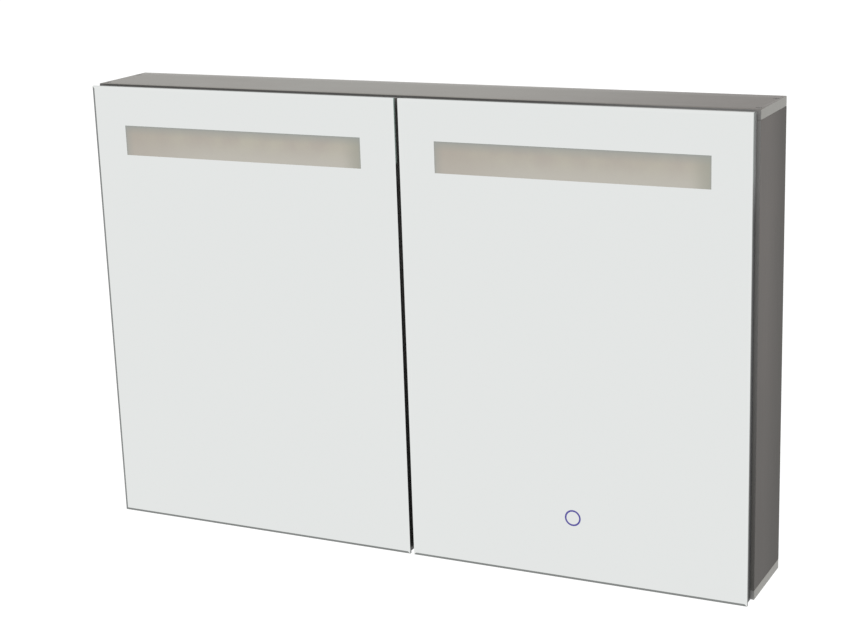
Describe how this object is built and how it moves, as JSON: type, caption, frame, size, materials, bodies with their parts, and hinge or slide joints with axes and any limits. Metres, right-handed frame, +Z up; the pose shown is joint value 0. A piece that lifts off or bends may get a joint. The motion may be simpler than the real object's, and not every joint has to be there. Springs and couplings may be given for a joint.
{
  "type": "medicine cabinet with mirror",
  "caption": "Wall-hung two-door mirror cabinet with a frosted light window in each bevelled glass door, a touch ring, glass shelves and concealed hinges.",
  "frame": {"origin": "middle of the hanging rail's rear face, which rests on the wall", "axes": "+X to the right of a person facing the cabinet, +Y into the wall, +Z up"},
  "size_m": [0.9, 0.1266, 0.595],
  "materials": {
    "case_aluminium": "fine brushed, warm grey anodised",
    "inner_aluminium": "satin anodised",
    "frame_aluminium": "dark satin anodised extrusion",
    "silvered_mirror": "polished, with a frosted window in each door front",
    "clear_glass": "polished float glass, greenish at the edges",
    "nickel_steel": "nickel plated",
    "white_plastic": "matte moulded",
    "opal_plastic": "opal, light diffusing",
    "lamp_strip": "flexible strip with small lamps",
    "dark_plastic": "matte moulded"
  },
  "bodies": {
    "cabinet": {"back_panel": "inner_aluminium", "bottom_panel": "case_aluminium", "cable_grommet": "dark_plastic", "centre_divider": "inner_aluminium", "centre_lower_front_shelf_pin": "nickel_steel", "centre_lower_rear_shelf_pin": "nickel_steel", "centre_upper_front_shelf_pin": "nickel_steel", "centre_upper_rear_shelf_pin": "nickel_steel", "hanging_rail": "inner_aluminium", "led_driver": "white_plastic", "left_lower_front_shelf_pin": "nickel_steel", "left_lower_hinge_arm": "nickel_steel", "left_lower_hinge_plate": "nickel_steel", "left_lower_rear_shelf_pin": "nickel_steel", "left_lower_shelf": "clear_glass", "left_side_panel": "case_aluminium", "left_upper_front_shelf_pin": "nickel_steel", "left_upper_hinge_arm": "nickel_steel", "left_upper_hinge_plate": "nickel_steel", "left_upper_rear_shelf_pin": "nickel_steel", "left_upper_shelf": "clear_glass", "right_lower_front_shelf_pin": "nickel_steel", "right_lower_hinge_arm": "nickel_steel", "right_lower_hinge_plate": "nickel_steel", "right_lower_rear_shelf_pin": "nickel_steel", "right_lower_shelf": "clear_glass", "right_side_panel": "case_aluminium", "right_upper_front_shelf_pin": "nickel_steel", "right_upper_hinge_arm": "nickel_steel", "right_upper_hinge_plate": "nickel_steel", "right_upper_rear_shelf_pin": "nickel_steel", "right_upper_shelf": "clear_glass", "top_panel": "case_aluminium"},
    "left_door": {"left_diffuser": "opal_plastic", "left_door_bottom_rail": "frame_aluminium", "left_door_hinge_stile": "frame_aluminium", "left_door_meeting_stile": "frame_aluminium", "left_door_top_rail": "frame_aluminium", "left_led_strip": "lamp_strip", "left_light_box": "white_plastic", "left_lower_hinge_cup": "nickel_steel", "left_mirror_glass": "silvered_mirror", "left_rear_mirror": "silvered_mirror", "left_upper_hinge_cup": "nickel_steel"},
    "left_hinge_links": {"left_lower_hinge_link": "nickel_steel", "left_upper_hinge_link": "nickel_steel"},
    "right_door": {"right_diffuser": "opal_plastic", "right_door_bottom_rail": "frame_aluminium", "right_door_hinge_stile": "frame_aluminium", "right_door_meeting_stile": "frame_aluminium", "right_door_top_rail": "frame_aluminium", "right_led_strip": "lamp_strip", "right_light_box": "white_plastic", "right_lower_hinge_cup": "nickel_steel", "right_mirror_glass": "silvered_mirror", "right_rear_mirror": "silvered_mirror", "right_upper_hinge_cup": "nickel_steel", "touch_sensor": "dark_plastic"},
    "right_hinge_links": {"right_lower_hinge_link": "nickel_steel", "right_upper_hinge_link": "nickel_steel"}
  },
  "joints": [
    {"name": "left_link_swing", "type": "hinge", "parent": "cabinet", "child": "left_hinge_links", "pos_m": [-0.414, -0.1, -0.26275], "axis": [0, 0, -1], "range_deg": [-12, 0]},
    {"name": "left_door_swing", "type": "hinge", "parent": "left_hinge_links", "child": "left_door", "pos_m": [-0.43775, -0.1145, -0.26275], "axis": [0, 0, -1], "range_deg": [0, 112]},
    {"name": "right_link_swing", "type": "hinge", "parent": "cabinet", "child": "right_hinge_links", "pos_m": [0.414, -0.1, -0.26275], "axis": [0, 0, 1], "range_deg": [-12, 0]},
    {"name": "right_door_swing", "type": "hinge", "parent": "right_hinge_links", "child": "right_door", "pos_m": [0.43775, -0.1145, -0.26275], "axis": [0, 0, 1], "range_deg": [0, 112]}
  ],
  "couplings": [
    {"joint": "left_link_swing", "follows": "left_door_swing", "ratio": -0.10714},
    {"joint": "right_link_swing", "follows": "right_door_swing", "ratio": -0.10714}
  ]
}
